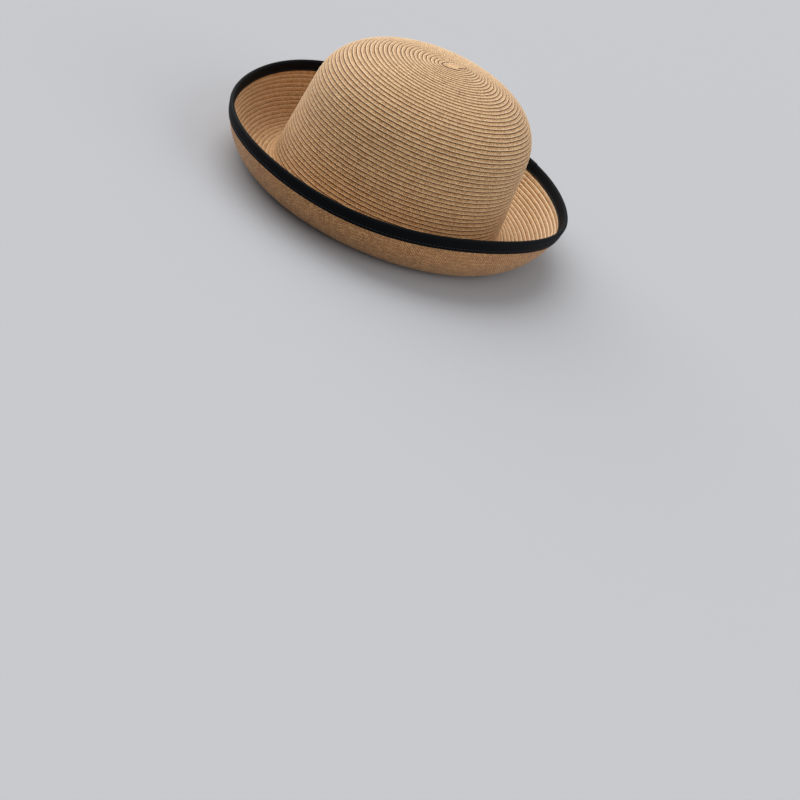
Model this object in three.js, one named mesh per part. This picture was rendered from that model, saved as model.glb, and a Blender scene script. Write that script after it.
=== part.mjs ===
// A sewn paper-straw bowler hat: a domed crown and a brim rolled up all round, with a ribbon-bound edge.
// Millimetres, +Z up. The hat stands brim down on the flat ring under its brim, with its front towards -Y.
//
// Every round piece is a ring swept round the oval of the head. Its section is drawn afresh at each angle,
// in a plane that stands upright on the crown's foot and points out to the rim: d is the distance out from
// the foot, negative inside the crown, and z the height. A turn angle of 0 is +X, a quarter turn is +Y.

import * as THREE from 'three';
import { mergeVertices } from 'three/addons/utils/BufferGeometryUtils.js';

// Oval of the head, at the foot of the crown, and of the rim.
const CROWN_HALF_X = 88.5;
const CROWN_HALF_Y = 100.5;
const RIM_HALF_X = 127.3;
const RIM_HALF_Y = 152;

// Rim height: its mean, then how much it stands higher at the sides and at both sides and ends.
const RIM_HEIGHT = 42;
const RIM_TWOFOLD = 3;
const RIM_FOURFOLD = 1.6;

// Angle that the brim has rolled through at the rim: upright at the sides, flaring at front and back.
const ROLL_ANGLE = 1.38;
const ROLL_TWOFOLD = 0.22;

// Crown.
const HAT_HEIGHT = 119;
const DOME_START = 70; // height where the wall starts to turn in
const DOME_POWER = 2.5; // squareness of the dome
const WALL_LEAN = 0.001; // share of its radius that the crown loses for each millimetre of height
const TIP_EDGE = 1.2; // dome angle where the tip meets the side crown
const DOME_GAP = 0.004; // dome angle of the gap between them

// Brim.
const BRAID = 2; // two overlapped rows of braid
const GAP = 0.3; // between neighbouring pieces
const FILLET = 7.5;
const SEAT_WIDTH = 3.5; // flat ring that the hat stands on
const CURL_START = 0.46; // share of the roll where the curl stands up from the flat brim
const CURL_GAP = 0.006; // share of the roll that is the gap there
const BRAID_END = 3.1; // from the end of the braid to the rim, along the roll

// Bound edge. The distances are along the brim from the end of the braid.
const RIBBON = 0.6;
const BINDING_INNER = 5.8;
const BINDING_OUTER = 7;
const BINDING_SEAM = 4.6;
const WIRE_RADIUS = 0.35;
const JOINER_BORE = 0.6;
const JOINER_RADIUS = 0.9;
const JOINER_LENGTH = 14;
const WIRE_BREAK = 1.2; // between the ends of the edge wire, inside the joiner
const THREAD_RADIUS = 0.25;

// Sweatband and what is sewn to it.
const BAND_LOW = 9.6;
const BAND_HIGH = 37.5;
const BAND_THICK = 1;
const BAND_SEAM = 11.8;
const LABEL_THICK = 0.8;
const LABEL_STANDOFF = 1.9;
const CARE_LABEL = { width: 28, length: 24 };
const SIZE_LABEL = { width: 16, length: 14 };
const MAKER_LABEL = { width: 44, height: 16, z: 24 };
const TACK_RADIUS = 0.25;
const TACK_HEIGHT = 1.5; // above the label's hinge
const BOW = { width: 40, waist: 8, end: 14, thick: 1.6, z: 25 };
const KNOT = { width: 8, wall: 0.7 };

// Fineness.
const AROUND = 56;

const QUARTER = Math.PI / 2;
const BAND_OFFSET = BRAID + GAP + BAND_THICK;

const STRAW = { color: 0xbd9367, roughness: 0.72, metalness: 0 };
const RIBBON_BLACK = { color: 0x15171b, roughness: 0.6, metalness: 0 };
const THREAD_BLACK = { color: 0x101114, roughness: 0.55, metalness: 0 };
const GROSGRAIN = { color: 0x1b1c20, roughness: 0.7, metalness: 0 };
const WIRE_STEEL = { color: 0x9a9ca0, roughness: 0.35, metalness: 0.9 };
const JOINER_BRASS = { color: 0xb08d4c, roughness: 0.35, metalness: 0.9 };
const LABEL_WHITE = { color: 0xece9e2, roughness: 0.6, metalness: 0 };

// ---- The section at one turn angle ----

function sectionAt(turn) {
  const cos = Math.cos(turn);
  const sin = Math.sin(turn);
  const foot = new THREE.Vector2(CROWN_HALF_X * cos, CROWN_HALF_Y * sin);
  const rim = new THREE.Vector2(RIM_HALF_X * cos, RIM_HALF_Y * sin);
  const radius = foot.length();
  const lean = Math.atan(WALL_LEAN * radius);
  const fillet = { d: FILLET * Math.cos(lean), z: BRAID + FILLET };
  const rimHeight = RIM_HEIGHT + RIM_TWOFOLD * Math.cos(2 * turn) + RIM_FOURFOLD * Math.cos(4 * turn);
  const angle = ROLL_ANGLE + ROLL_TWOFOLD * Math.cos(2 * turn);
  const rollStart = fillet.d + SEAT_WIDTH;
  const rollWidth = (rim.distanceTo(foot) - BRAID - rollStart) / Math.sin(angle);
  const rollHeight = (rimHeight - BRAID) / (1 - Math.cos(angle));
  return {
    foot, radius, lean, fillet,
    out: rim.clone().sub(foot).normalize(),
    wallFoot: fillet.z - FILLET * Math.sin(lean),
    roll: { angle, start: rollStart, width: rollWidth, height: rollHeight },
  };
}

// A station of the hat's top and outer skin: a point of the section and its outward normal.
function station(d, z, normalD, normalZ) {
  const length = Math.hypot(normalD, normalZ);
  return { d, z, normalD: normalD / length, normalZ: normalZ / length };
}

function wallAt(section, z) {
  const d = -section.radius * WALL_LEAN * (z - section.wallFoot);
  return station(d, z, Math.cos(section.lean), Math.sin(section.lean));
}

function domePoint(section, angle) {
  const rise = Math.max(0, Math.sin(angle)) ** (2 / DOME_POWER);
  const z = DOME_START + (HAT_HEIGHT - DOME_START) * rise;
  const inward = Math.max(0, Math.cos(angle)) ** (2 / DOME_POWER);
  return { d: section.radius * ((1 - WALL_LEAN * (z - section.wallFoot)) * inward - 1), z };
}

// The dome, from 0 where it leaves the wall to a quarter turn at the top.
function domeAt(section, angle) {
  if (angle >= QUARTER) return station(-section.radius, HAT_HEIGHT, 0, 1);
  const step = 1e-4;
  const here = domePoint(section, angle);
  const below = domePoint(section, Math.max(angle - step, 1e-6));
  const above = domePoint(section, angle + step);
  return station(here.d, here.z, above.z - below.z, below.d - above.d);
}

// The concave turn from wall to brim, from 0 at the wall to 1 at the flat seat.
function filletAt(section, share) {
  const angle = section.lean + (QUARTER - section.lean) * share;
  const d = section.fillet.d - FILLET * Math.cos(angle);
  const z = section.fillet.z - FILLET * Math.sin(angle);
  return station(d, z, Math.cos(angle), Math.sin(angle));
}

// The brim's roll, from 0 at the seat to 1 at the rim.
function rollAt(section, share) {
  const { angle, start, width, height } = section.roll;
  const d = start + width * Math.sin(angle * share);
  const z = BRAID + height * (1 - Math.cos(angle * share));
  return station(d, z, -height * Math.sin(angle * share), width * Math.cos(angle * share));
}

// Share of the roll at a distance back from its end, measured along it.
function rollShareBefore(section, distance) {
  const { angle, width, height } = section.roll;
  const slope = Math.hypot(width * Math.cos(angle), height * Math.sin(angle)) * angle;
  return 1 - distance / slope;
}

// Stations from the end of the braid back to a distance along the roll.
function edgeAt(section, distance) {
  return rollAt(section, rollShareBefore(section, BRAID_END + distance));
}

function range(start, end, steps, make) {
  return Array.from({ length: steps + 1 }, (_, i) => make(start + ((end - start) * i) / steps));
}

// The point of the section at a depth under the skin; a negative depth stands proud of it.
function under(at, depth) {
  return new THREE.Vector2(at.d - at.normalD * depth, at.z - at.normalZ * depth);
}

// The closed outline of a layer that runs along the stations between two depths.
function layer(stations, top, bottom) {
  const upper = stations.map((at) => under(at, top));
  const lower = stations.map((at) => under(at, bottom)).reverse();
  return [...upper, ...lower];
}

function circle(centre, radius, sides) {
  return range(0, 2 * Math.PI * (1 - 1 / sides), sides - 1, (angle) =>
    new THREE.Vector2(centre.x + radius * Math.cos(angle), centre.y + radius * Math.sin(angle)));
}

// ---- Solids ----

function placed(section, point) {
  const { foot, radius, out } = section;
  if (point.x > 0) return new THREE.Vector3(foot.x + out.x * point.x, foot.y + out.y * point.x, point.y);
  const share = Math.max(0, 1 + point.x / radius);
  return new THREE.Vector3(foot.x * share, foot.y * share, point.y);
}

function welded(geometry) {
  geometry.deleteAttribute('normal');
  geometry.deleteAttribute('uv');
  const merged = mergeVertices(geometry, 1e-4);
  const corners = merged.index.array;
  const kept = [];
  for (let i = 0; i < corners.length; i += 3) {
    const [a, b, c] = corners.slice(i, i + 3);
    if (a !== b && b !== c && c !== a) kept.push(a, b, c);
  }
  merged.setIndex(kept);
  return merged;
}

// A ring with the closed outline that outlineAt draws for each section. The outline runs anticlockwise,
// with d to the right and z up. The outline of a disc starts and ends on the middle axis.
function ring(outlineAt) {
  const points = [];
  const corners = [];
  const turns = range(0, 2 * Math.PI, AROUND, (turn) => turn).slice(0, -1);
  const rows = turns.map((turn) => {
    const section = sectionAt(turn);
    return outlineAt(section).map((point) => placed(section, point));
  });
  const count = rows[0].length;
  rows.forEach((row) => row.forEach((point) => points.push(point.x, point.y, point.z)));
  for (let i = 0; i < AROUND; i += 1) {
    const next = (i + 1) % AROUND;
    for (let j = 0; j < count; j += 1) {
      const after = (j + 1) % count;
      const [a, b] = [i * count + j, i * count + after];
      const [c, d] = [next * count + after, next * count + j];
      corners.push(a, d, b, b, d, c);
    }
  }
  const geometry = new THREE.BufferGeometry();
  geometry.setAttribute('position', new THREE.Float32BufferAttribute(points, 3));
  geometry.setIndex(corners);
  return welded(geometry);
}

function named(name, geometry, finish) {
  const mesh = new THREE.Mesh(geometry, new THREE.MeshStandardMaterial(finish));
  mesh.name = name;
  return mesh;
}

// ---- The sewn braid ----

function braidRing(name, stationsAt) {
  return named(name, ring((section) => layer(stationsAt(section), 0, BRAID).reverse()), STRAW);
}

function crownTip() {
  return braidRing('crown_tip', (section) =>
    range(QUARTER, TIP_EDGE + DOME_GAP, 4, (angle) => domeAt(section, angle)));
}

function sideCrown() {
  return braidRing('side_crown', (section) => [
    ...range(TIP_EDGE, 0, 8, (angle) => domeAt(section, angle)),
    ...range(DOME_START, section.wallFoot + GAP, 2, (z) => wallAt(section, z)).slice(1),
  ]);
}

function brimFlat() {
  return braidRing('brim_flat', (section) => [
    ...range(0, 1, 4, (share) => filletAt(section, share)),
    ...range(0, CURL_START, 3, (share) => rollAt(section, share)),
  ]);
}

function brimCurl() {
  return braidRing('brim_curl', (section) => {
    const end = rollShareBefore(section, BRAID_END);
    return range(CURL_START + CURL_GAP, end, 4, (share) => rollAt(section, share));
  });
}

// ---- The bound edge ----

// Middle of the fold of the binding, past the end of the braid, where the edge wire runs.
function wireCentre(section) {
  const at = edgeAt(section, 0);
  const edge = under(at, BRAID / 2);
  const past = GAP + JOINER_RADIUS;
  return new THREE.Vector2(edge.x + at.normalZ * past, edge.y - at.normalD * past);
}

class WirePath extends THREE.Curve {
  constructor(start, end) {
    super();
    this.start = start;
    this.end = end;
  }

  getPoint(share, target = new THREE.Vector3()) {
    const section = sectionAt(this.start + (this.end - this.start) * share);
    return target.copy(placed(section, wireCentre(section)));
  }
}

// Half the turn round the hat that a length along the rim takes at the back.
function halfTurnAtBack(length) {
  return length / 2 / RIM_HALF_X;
}

function alongRim(shape, path, steps) {
  return welded(new THREE.ExtrudeGeometry(shape, { steps, extrudePath: path, curveSegments: 4 }));
}

function edgeWire() {
  const half = halfTurnAtBack(WIRE_BREAK);
  const path = new WirePath(QUARTER + half, QUARTER * 5 - half);
  const section = new THREE.Shape(circle(new THREE.Vector2(), WIRE_RADIUS, 5));
  return named('edge_wire', alongRim(section, path, AROUND * 1.5), WIRE_STEEL);
}

function wireJoiner() {
  const half = halfTurnAtBack(JOINER_LENGTH);
  const path = new WirePath(QUARTER - half, QUARTER + half);
  const section = new THREE.Shape(circle(new THREE.Vector2(), JOINER_RADIUS, 10));
  section.holes.push(new THREE.Path(circle(new THREE.Vector2(), JOINER_BORE, 10)));
  return named('wire_joiner', alongRim(section, path, 4), JOINER_BRASS);
}

// Half a circle round the wire, from the inner face of the brim over the edge to the outer face.
function foldRoundWire(section, radius) {
  const centre = wireCentre(section);
  const { normalD, normalZ } = edgeAt(section, 0);
  return range(0, Math.PI, 4, (angle) => {
    const [across, along] = [radius * Math.cos(angle), radius * Math.sin(angle)];
    return new THREE.Vector2(
      centre.x + normalD * across + normalZ * along, centre.y + normalZ * across - normalD * along);
  });
}

// A ribbon folded over the edge: up one face, round the wire and down the other.
function edgeBinding() {
  const inside = BRAID / 2 + GAP;
  return named('edge_binding', ring((section) => {
    const innerLow = edgeAt(section, BINDING_INNER);
    const outerLow = edgeAt(section, BINDING_OUTER);
    const high = edgeAt(section, 0);
    const sheet = (proud, radius) => [
      under(innerLow, -proud), under(high, -proud),
      ...foldRoundWire(section, radius),
      under(high, BRAID + proud), under(outerLow, BRAID + proud)];
    return [...sheet(GAP, inside), ...sheet(GAP + RIBBON, inside + RIBBON).reverse()];
  }), RIBBON_BLACK);
}

function threadRing(name, pointAt) {
  return named(name, ring((section) => circle(pointAt(section), THREAD_RADIUS, 5)), THREAD_BLACK);
}

function bindingThreads() {
  const clear = GAP + RIBBON + GAP + THREAD_RADIUS;
  return [
    threadRing('binding_needle_thread', (section) => under(edgeAt(section, BINDING_SEAM), -clear)),
    threadRing('binding_bobbin_thread', (section) => under(edgeAt(section, BINDING_SEAM), BRAID + clear)),
  ];
}

// ---- The sweatband and what is sewn to it ----

function sweatband() {
  return named('sweatband', ring((section) =>
    layer([wallAt(section, BAND_HIGH), wallAt(section, BAND_LOW)], BRAID + GAP, BAND_OFFSET).reverse()),
  GROSGRAIN);
}

function sweatbandThread() {
  const depth = BAND_OFFSET + GAP + THREAD_RADIUS;
  return threadRing('sweatband_thread', (section) => under(wallAt(section, BAND_SEAM), depth));
}

// Bends a flat piece, drawn in X (along the band) and Z with Y towards the wall, round the band's inside.
function laidOnBand(geometry, middleTurn, height, standoff) {
  const positions = geometry.attributes.position;
  const point = new THREE.Vector3();
  const bendRadius = sectionAt(middleTurn + QUARTER).radius;
  for (let i = 0; i < positions.count; i += 1) {
    point.fromBufferAttribute(positions, i);
    const section = sectionAt(middleTurn - point.x / bendRadius);
    const at = under(wallAt(section, height + point.z), BAND_OFFSET + standoff - point.y);
    point.copy(placed(section, new THREE.Vector2(at.x, height + point.z)));
    positions.setXYZ(i, point.x, point.y, point.z);
  }
  return welded(geometry);
}

function makerLabel() {
  const flat = new THREE.BoxGeometry(MAKER_LABEL.width, LABEL_THICK, MAKER_LABEL.height, 8, 1, 1);
  const standoff = GAP + 0.2 + LABEL_THICK / 2;
  return named('maker_label', laidOnBand(flat, -QUARTER, MAKER_LABEL.z, standoff), LABEL_WHITE);
}

// The bow's ribbon, a flat figure narrow at the knot and wider at its ends.
function bowLoops() {
  const flat = new THREE.BoxGeometry(BOW.width, BOW.thick, 1, 10, 1, 1);
  const positions = flat.attributes.position;
  for (let i = 0; i < positions.count; i += 1) {
    const share = Math.abs(positions.getX(i)) / (BOW.width / 2);
    positions.setZ(i, positions.getZ(i) * (BOW.waist + (BOW.end - BOW.waist) * share));
  }
  const standoff = GAP + KNOT.wall + GAP + 0.2 + BOW.thick / 2;
  return named('bow_loops', laidOnBand(flat, QUARTER, BOW.z, standoff), GROSGRAIN);
}

function rectangle(halfWidth, halfHeight) {
  return [[-1, -1], [1, -1], [1, 1], [-1, 1]].map(
    ([x, y]) => new THREE.Vector2(x * halfWidth, y * halfHeight));
}

// The ribbon wrapped round the middle of the bow: a flat sleeve that the loops run through.
function bowKnot() {
  const halfY = BOW.thick / 2 + GAP + KNOT.wall;
  const waist = BOW.waist + ((BOW.end - BOW.waist) * KNOT.width) / BOW.width;
  const halfZ = waist / 2 + GAP + KNOT.wall;
  const section = new THREE.Shape(rectangle(halfY, halfZ));
  section.holes.push(new THREE.Path(rectangle(halfY - KNOT.wall, halfZ - KNOT.wall)));
  const sleeve = new THREE.ExtrudeGeometry(section, { depth: KNOT.width, steps: 2, bevelEnabled: false });
  sleeve.translate(0, 0, -KNOT.width / 2);
  sleeve.applyMatrix4(new THREE.Matrix4().makeBasis(
    new THREE.Vector3(0, 1, 0), new THREE.Vector3(0, 0, 1), new THREE.Vector3(1, 0, 0)));
  return named('bow_knot', laidOnBand(sleeve, QUARTER, BOW.z, GAP + 0.2 + halfY), GROSGRAIN);
}

// A label sewn by its top edge on one side of the band (+1 is +X), and the bar of stitches that holds it.
function hangingLabel(prefix, side, size) {
  const section = sectionAt(0);
  const band = placed(section, under(wallAt(section, BAND_HIGH), BAND_OFFSET));
  const hinge = { x: band.x - LABEL_STANDOFF, z: BAND_HIGH - 0.3 };
  const plate = new THREE.BoxGeometry(LABEL_THICK, size.width, size.length);
  const label = named(`${prefix}_label`, plate, LABEL_WHITE);
  label.position.set(side * hinge.x, 0, hinge.z + LABEL_THICK / 2 - size.length / 2);
  const bar = new THREE.CylinderGeometry(TACK_RADIUS, TACK_RADIUS, size.width - 2, 8);
  const tack = named(`${prefix}_label_tack`, bar, THREAD_BLACK);
  tack.position.set(side * hinge.x, 0, hinge.z + TACK_HEIGHT);
  return [label, tack];
}

const hat = new THREE.Group();
hat.add(crownTip(), sideCrown(), brimFlat(), brimCurl());
hat.add(edgeWire(), wireJoiner(), edgeBinding(), ...bindingThreads());
hat.add(sweatband(), sweatbandThread(), makerLabel(), bowLoops(), bowKnot());
hat.add(...hangingLabel('care', 1, CARE_LABEL), ...hangingLabel('size', -1, SIZE_LABEL));

export default hat;
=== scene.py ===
"""A sewn paper-straw bowler hat with a rolled, ribbon-bound brim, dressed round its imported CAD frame.

Metres, +Z up, front towards -Y. Shapes are drawn in millimetres and scaled when their mesh is made.
Every round piece follows the section of the hat at its turn angle: d is the distance out from the foot of
the crown, negative inside it, and z the height. A turn of 0 is +X and a quarter turn is +Y, the back.
"""

import math

import bpy
import numpy as np
from mathutils import Matrix, Vector


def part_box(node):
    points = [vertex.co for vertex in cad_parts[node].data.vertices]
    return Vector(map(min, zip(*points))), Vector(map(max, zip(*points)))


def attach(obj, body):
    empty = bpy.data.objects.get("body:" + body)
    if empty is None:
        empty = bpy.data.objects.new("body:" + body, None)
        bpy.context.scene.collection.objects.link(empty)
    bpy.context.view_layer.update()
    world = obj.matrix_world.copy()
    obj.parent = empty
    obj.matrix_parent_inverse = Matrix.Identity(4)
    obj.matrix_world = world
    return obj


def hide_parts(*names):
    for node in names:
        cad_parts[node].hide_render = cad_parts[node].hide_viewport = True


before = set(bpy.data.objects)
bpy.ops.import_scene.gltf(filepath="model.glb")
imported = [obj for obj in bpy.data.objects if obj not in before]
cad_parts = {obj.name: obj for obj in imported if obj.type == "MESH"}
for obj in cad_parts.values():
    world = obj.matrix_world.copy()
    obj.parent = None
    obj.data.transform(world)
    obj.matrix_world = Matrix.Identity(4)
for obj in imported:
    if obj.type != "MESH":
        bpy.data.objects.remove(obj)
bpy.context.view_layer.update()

MM = 0.001
FULL_TURN = 2 * math.pi
QUARTER = math.pi / 2
FRONT, BACK = -QUARTER, QUARTER
MIDWAY = QUARTER / 2  # the turn midway between the hat's side and its back
TINY = 1e-9  # keeps a division by a length clear of zero

# ---- Driving dimensions, as in the part's source, in millimetres ----

CROWN_HALF_X, CROWN_HALF_Y = 88.5, 100.5
RIM_HALF_X, RIM_HALF_Y = 127.3, 152
RIM_HEIGHT, RIM_TWOFOLD, RIM_FOURFOLD = 42, 3, 1.6
ROLL_ANGLE, ROLL_TWOFOLD = 1.38, 0.22
HAT_HEIGHT = 119
DOME_START = 70
DOME_POWER = 2.5
WALL_LEAN = 0.001
TIP_EDGE = 1.2
CURL_START = 0.46
BRAID = 2
GAP = 0.3
FILLET = 7.5
SEAT_WIDTH = 3.5
BRAID_END = 3.1
BINDING_INNER, BINDING_OUTER, BINDING_SEAM = 5.8, 7, 4.6
JOINER_RADIUS = 0.9
BAND_LOW, BAND_HIGH, BAND_SEAM = 9.6, 37.5, 11.8
BAND_OFFSET = BRAID + GAP + 1
MAKER_LABEL = {"width": 44, "height": 16, "z": 24}
BOW = {"width": 40, "waist": 8, "end": 14, "thick": 1.6, "z": 25}
KNOT = {"width": 8, "wall": 0.7}

# Places on the skin, counted from 0 at the tip.
WALL_TOP, WALL_FOOT, SEAT_IN, SEAT_OUT, RIM = 1, 2, 3, 4, 5

# ---- The braid strip ----

ROW = 3.3  # what shows of one row, near enough: the rows divide the skin evenly
# Share of the row from its upper edge, and the height of its surface over the skin.
ROW_SECTION = [
    (0, -0.95), (0.05, -0.62), (0.12, -0.4), (0.25, -0.18), (0.42, -0.06),
    (0.52, -0.08), (0.7, 0.02), (0.86, 0.1), (0.955, -0.08),
]
BACK_SECTION = [(0, -0.04), (0.25, -0.01), (0.5, 0), (0.75, -0.01)]  # the same for its back, inwards
PLAIT = 2.1  # length of one plait of the straw
PLAITS_ACROSS = 1.8
LEAST_PLAITS = 6  # in the shortest row
COLUMNS = 600  # mesh columns in a full turn
SWELL, SWELL_RATE = 0.12, 7.3  # share by which a row's height changes along the strip, and how fast
# Size, rate and phase of the waves in which the edge of the strip wanders.
DRIFT_WAVES = [(0.085, 5.37, 0.4), (0.06, 11.71, 2.1), (0.05, 23.3, 1.2), (0.04, 47.9, 4.0)]
SLIT = 9  # half the slit that the first row is folded round, at the tip
FOLD = 0.3  # share of the first row that is folded flat round the slit, with no groove
SLIT_BACK = 8  # how far the slit lies behind the middle of the tip
SLIT_FADE = 0.6  # share of the crown's radius where the rows have turned into its oval
CAP_ROWS = 8  # how many rows wide the straw is drawn in the middle of the slit
SKIN_SAMPLES = 20001
RING_SAMPLES = 181
LENGTH_STEP, TURN_STEP = 0.05, 0.002  # what the skin's normals are worked out over
LEAST_NORMAL = 1e-5  # a smaller one, at the very tip, is taken to point straight up


class Section:
    """The upright section of the hat at each of an array of turn angles."""

    def __init__(self, turn):
        cos, sin = np.cos(turn), np.sin(turn)
        self.sin = sin
        self.foot = np.stack([CROWN_HALF_X * cos, CROWN_HALF_Y * sin], -1)
        rim = np.stack([RIM_HALF_X * cos, RIM_HALF_Y * sin], -1)
        width = np.linalg.norm(rim - self.foot, axis=-1)
        self.out = (rim - self.foot) / width[..., None]
        self.radius = np.linalg.norm(self.foot, axis=-1)
        self.lean = np.arctan(WALL_LEAN * self.radius)
        self.fillet_d = FILLET * np.cos(self.lean)
        self.fillet_z = BRAID + FILLET
        self.wall_foot = self.fillet_z - FILLET * np.sin(self.lean)
        rim_height = RIM_HEIGHT + RIM_TWOFOLD * np.cos(2 * turn) + RIM_FOURFOLD * np.cos(4 * turn)
        self.angle = ROLL_ANGLE + ROLL_TWOFOLD * np.cos(2 * turn)
        self.roll_start = self.fillet_d + SEAT_WIDTH
        self.roll_width = (width - BRAID - self.roll_start) / np.sin(self.angle)
        self.roll_height = (rim_height - BRAID) / (1 - np.cos(self.angle))

    def placed(self, d, z):
        """The points of the row frame at a distance d from the foot and a height z."""
        inside = self.foot * np.maximum(0, 1 + d / self.radius)[..., None]
        outside = self.foot + self.out * d[..., None]
        plan = np.where((d > 0)[..., None], outside, inside)
        return np.concatenate([plan, np.broadcast_to(z, d.shape)[..., None]], -1)

    def wall(self, z):
        """d and the normal (d, z) of the wall at a height."""
        d = -self.radius * WALL_LEAN * (z - self.wall_foot)
        return d, (np.cos(self.lean), np.sin(self.lean))

    def dome(self, share):
        """(d, z) of the dome, from 0 at the tip to 1 where it meets the wall."""
        angle = (1 - share) * QUARTER
        rise = np.maximum(0, np.sin(angle)) ** (2 / DOME_POWER)
        z = DOME_START + (HAT_HEIGHT - DOME_START) * rise
        inward = np.maximum(0, np.cos(angle)) ** (2 / DOME_POWER)
        return self.radius * ((1 - WALL_LEAN * (z - self.wall_foot)) * inward - 1), z

    def roll(self, share):
        """(d, z) of the brim's roll, from 0 at the seat to 1 at the rim."""
        d = self.roll_start + self.roll_width * np.sin(self.angle * share)
        return d, BRAID + self.roll_height * (1 - np.cos(self.angle * share))

    def roll_share(self, distance):
        """The share of the roll at a distance back from the rim, along the roll."""
        slope = np.hypot(self.roll_width * np.cos(self.angle), self.roll_height * np.sin(self.angle))
        return 1 - distance / (slope * self.angle)

    def edge(self, distance):
        """(d, z) and the normal of the skin at a distance back from the end of the braid, along the roll."""
        share = self.roll_share(BRAID_END + distance)
        d, z = self.roll(share)
        normal_d = -self.roll_height * np.sin(self.angle * share)
        normal_z = self.roll_width * np.cos(self.angle * share)
        length = np.hypot(normal_d, normal_z)
        return d, z, normal_d / length, normal_z / length

    def skin(self, place):
        """(d, z) of the skin at a place on it."""
        wall_share = np.clip(place - WALL_TOP, 0, 1)
        wall_z = DOME_START + (self.wall_foot - DOME_START) * wall_share
        turn_in = self.lean + (QUARTER - self.lean) * np.clip(place - WALL_FOOT, 0, 1)
        parts = [
            self.dome(np.clip(place, 0, 1)),
            (self.wall(wall_z)[0], wall_z),
            (self.fillet_d - FILLET * np.cos(turn_in), self.fillet_z - FILLET * np.sin(turn_in)),
            (self.fillet_d + SEAT_WIDTH * np.clip(place - SEAT_IN, 0, 1), BRAID + 0 * place),
            self.roll(np.clip(place - SEAT_OUT, 0, 1)),
        ]
        which = [place < WALL_TOP, place < WALL_FOOT, place < SEAT_IN, place < SEAT_OUT, place >= SEAT_OUT]
        full = np.broadcast(place, self.radius).shape
        spread = [[np.broadcast_to(part[k], full) for part in parts] for k in (0, 1)]
        masks = [np.broadcast_to(mask, full) for mask in which]
        return np.select(masks, spread[0]), np.select(masks, spread[1])


MIDWAY_SECTION = Section(np.array(MIDWAY))


def skin_lengths():
    """Places from the tip to the rim, and the length along the midway section to each."""
    places = np.linspace(0, RIM, SKIN_SAMPLES)
    d, z = MIDWAY_SECTION.skin(places)
    steps = np.hypot(np.diff(d), np.diff(z))
    return places, np.concatenate([[0], np.cumsum(steps)])


PLACES, LENGTHS = skin_lengths()
DOME_D, DOME_Z = MIDWAY_SECTION.dome(np.linspace(0, 1, SKIN_SAMPLES))
DOME_SHARE = 1 + DOME_D / MIDWAY_SECTION.radius
BRAID_REACH = float(np.interp(SEAT_OUT + MIDWAY_SECTION.roll_share(BRAID_END), PLACES, LENGTHS))
ROWS = round(BRAID_REACH / ROW)
PITCH = BRAID_REACH / ROWS


def on_skin(length, turn):
    """Points of the skin at a length from the tip. Near the tip the rings draw in round the slit."""
    section = Section(turn)
    place = np.interp(np.maximum(length, 0), LENGTHS, PLACES)
    d, z = section.skin(place)
    points = section.placed(d, z)
    share = 1 + d / section.radius
    fade = np.clip(1 - share / SLIT_FADE, 0, 1) ** 2
    slit_y = points[..., 1] + (SLIT * section.sin + SLIT_BACK) * fade
    slit_share = np.hypot(points[..., 0] / CROWN_HALF_X, slit_y / CROWN_HALF_Y)
    slit_z = np.interp(slit_share, DOME_SHARE, DOME_Z)
    points[..., 1] = np.where(fade > 0, slit_y, points[..., 1])
    points[..., 2] = np.where(fade > 0, slit_z, points[..., 2])
    return points


def skin_normals(length, turn):
    """The skin's unit normals, facing out."""
    along = on_skin(length + LENGTH_STEP, turn) - on_skin(length - LENGTH_STEP, turn)
    round_it = on_skin(length, turn + TURN_STEP) - on_skin(length, turn - TURN_STEP)
    normal = np.cross(along, round_it)
    size = np.linalg.norm(normal, axis=-1, keepdims=True)
    up = np.array([0.0, 0.0, 1.0])
    return np.where(size > LEAST_NORMAL, normal / np.maximum(size, TINY), up)


def drift(total_turn):
    """How far the sewer let the edge of the strip wander, at a total turn counted along the strip."""
    return sum(size * np.sin(rate * total_turn + phase) for size, rate, phase in DRIFT_WAVES)


def strip_length(level, turn):
    """Length along the skin to a level of the strip, which is rows from the tip at turn 0."""
    row = np.floor(level)
    upper = drift(FULL_TURN * row + turn)
    lower = drift(FULL_TURN * (row + 1) + turn)
    return PITCH * (level + turn / FULL_TURN) + upper + (lower - upper) * (level - row)


# ---- Meshes ----


def build(name, points, faces, uvs=None, finishes=(), finish_of_face=None, flat_faces=None):
    """A smooth mesh object in metres. faces is a list of arrays, each (count, corners); uvs matches it."""
    mesh = bpy.data.meshes.new(name)
    corners = np.concatenate([np.asarray(f).ravel() for f in faces])
    sizes = np.concatenate([np.full(len(f), np.asarray(f).shape[1]) for f in faces])
    mesh.vertices.add(len(points))
    mesh.vertices.foreach_set("co", (np.asarray(points) * MM).astype(np.float32).ravel())
    mesh.loops.add(len(corners))
    mesh.loops.foreach_set("vertex_index", corners.astype(np.int32))
    mesh.polygons.add(len(sizes))
    starts = np.concatenate([[0], np.cumsum(sizes)[:-1]])
    mesh.polygons.foreach_set("loop_start", starts.astype(np.int32))
    smooth = np.ones(len(sizes), bool)
    if flat_faces is not None:
        smooth = ~flat_faces
    mesh.polygons.foreach_set("use_smooth", smooth)
    if finish_of_face is not None:
        mesh.polygons.foreach_set("material_index", finish_of_face.astype(np.int32))
    if uvs is not None:
        layer = mesh.uv_layers.new(name="cloth")
        flat = np.concatenate([np.asarray(u, np.float32).reshape(-1, 2) for u in uvs])
        layer.uv.foreach_set("vector", flat.ravel())
    for finish in finishes:
        mesh.materials.append(finish)
    mesh.update(calc_edges=True)
    mesh.validate()
    made = bpy.data.objects.new(name, mesh)
    bpy.context.scene.collection.objects.link(made)
    return made


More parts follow.
